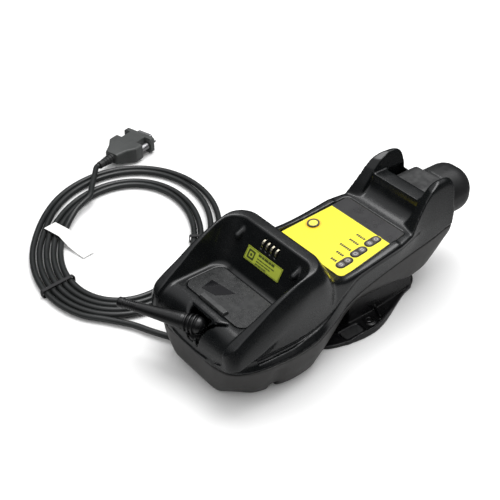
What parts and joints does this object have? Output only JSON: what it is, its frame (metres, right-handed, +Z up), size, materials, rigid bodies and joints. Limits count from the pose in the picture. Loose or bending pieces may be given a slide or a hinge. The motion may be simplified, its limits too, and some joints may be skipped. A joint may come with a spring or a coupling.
{
  "type": "reader charging cradle",
  "caption": "Charging and radio base station for a cordless hand-held reader, with a tilted bay, a swivelling antenna, a spare battery bay and a coiled host cable.",
  "frame": {"origin": "on the table plane, at mid-length of the cradle in its centre plane, on the underside of the mounting bracket", "axes": "+X across the cradle to the side with the indicator windows, +Y from the nose (antenna) to the tail (spare battery), +Z up"},
  "size_m": [0.3603, 0.2994, 0.0984],
  "materials": {
    "shell": "satin black moulded plastic",
    "base": "fine-textured black plastic",
    "bracket": "textured black plastic",
    "label": "printed polyester overlay, yellow and grey",
    "lamp": "clear amber lens",
    "window": "smoked clear window",
    "notice": "printed label, yellow-green",
    "nylon": "black nylon",
    "board": "green circuit board",
    "tin": "tinned steel",
    "steel": "zinc-plated steel",
    "sleeve": "shrink sleeve",
    "contact": "gold-plated spring alloy",
    "rubber": "black rubber",
    "jacket": "satin PVC cable jacket",
    "tie": "black plastic strip",
    "paper": "white paper"
  },
  "bodies": {
    "bracket": {"mounting_bracket": "bracket", "bracket_pad_1": "rubber", "bracket_pad_2": "rubber"},
    "cradle": {"upper_shell": "shell", "lower_shell": "base", "bay_floor_plate": "shell", "bay_notice_label": "notice", "contact_housing": "nylon", "overlay_label": "label", "status_lamp_lens": "lamp", "indicator_window_1": "window", "indicator_window_2": "window", "indicator_window_3": "window", "indicator_board": "board", "main_board": "board", "socket_board": "board", "radio_module": "tin", "charge_inductor": "nylon", "reservoir_capacitor": "sleeve", "beeper": "nylon", "battery_contact_block": "nylon", "host_socket": "nylon", "aux_socket": "nylon", "power_jack": "nylon", "case_screw_1": "steel", "case_screw_2": "steel", "case_screw_3": "steel", "case_screw_4": "steel", "rubber_foot_1": "rubber", "rubber_foot_2": "rubber", "antenna_socket": "rubber", "host_cable": "jacket", "cable_plug": "nylon", "strain_relief": "rubber", "connector_hood": "nylon", "connector_shell": "tin", "connector_insert": "nylon", "cable_tie_1": "tie", "cable_tie_2": "tie", "paper_tag": "paper"},
    "reader_bar": {"reader_sense_bar": "shell"},
    "contact_1": {"bay_contact_1": "contact"},
    "contact_2": {"bay_contact_2": "contact"},
    "contact_3": {"bay_contact_3": "contact"},
    "contact_4": {"bay_contact_4": "contact"},
    "spare_battery": {"spare_battery_body": "nylon", "spare_battery_cap": "rubber", "battery_terminal_1": "contact", "battery_terminal_2": "contact"},
    "antenna_base": {"antenna_knuckle": "rubber", "antenna_pin": "steel"},
    "antenna": {"antenna_whip": "rubber"},
    "thumbscrew_left": {"thumbscrew_1": "tin"},
    "thumbscrew_right": {"thumbscrew_2": "tin"},
    "release_tab": {"plug_release_tab": "nylon"}
  },
  "joints": [
    {"name": "cradle_lift", "type": "slide", "parent": "bracket", "child": "cradle", "axis": [0, 0, 1], "range_m": [0, 0.03]},
    {"name": "reader_bar_press", "type": "slide", "parent": "cradle", "child": "reader_bar", "axis": [0, 0, -1], "range_m": [0, 0.002], "stiffness_N_per_m": 400},
    {"name": "contact_1_press", "type": "slide", "parent": "cradle", "child": "contact_1", "axis": [0, 0.8625, -0.506], "range_m": [0, 0.0012], "stiffness_N_per_m": 600},
    {"name": "contact_2_press", "type": "slide", "parent": "cradle", "child": "contact_2", "axis": [0, 0.8625, -0.506], "range_m": [0, 0.0012], "stiffness_N_per_m": 600},
    {"name": "contact_3_press", "type": "slide", "parent": "cradle", "child": "contact_3", "axis": [0, 0.8625, -0.506], "range_m": [0, 0.0012], "stiffness_N_per_m": 600},
    {"name": "contact_4_press", "type": "slide", "parent": "cradle", "child": "contact_4", "axis": [0, 0.8625, -0.506], "range_m": [0, 0.0012], "stiffness_N_per_m": 600},
    {"name": "battery_slide", "type": "slide", "parent": "cradle", "child": "spare_battery", "axis": [0, 1, 0], "range_m": [0, 0.07]},
    {"name": "antenna_turn", "type": "hinge", "parent": "cradle", "child": "antenna_base", "pos_m": [0, -0.1065, 0.0465], "axis": [0, 0, 1], "range_deg": [0, 125]},
    {"name": "antenna_tilt", "type": "hinge", "parent": "antenna_base", "child": "antenna", "pos_m": [0, -0.1065, 0.0465], "axis": [-0.4617, 0.887, 0], "range_deg": [0, 90]},
    {"name": "thumbscrew_left_turn", "type": "hinge", "parent": "cradle", "child": "thumbscrew_left", "pos_m": [-0.29981, 0.02486, 0.009], "axis": [-0.2756, 0.9613, 0], "continuous": true},
    {"name": "thumbscrew_right_turn", "type": "hinge", "parent": "cradle", "child": "thumbscrew_right", "pos_m": [-0.27578, 0.03175, 0.009], "axis": [-0.2756, 0.9613, 0], "continuous": true},
    {"name": "release_tab_press", "type": "hinge", "parent": "cradle", "child": "release_tab", "pos_m": [-0.014, -0.0606, 0.00475], "axis": [-1, 0, 0], "range_deg": [0, 5], "stiffness_Nm_per_rad": 0.05}
  ]
}
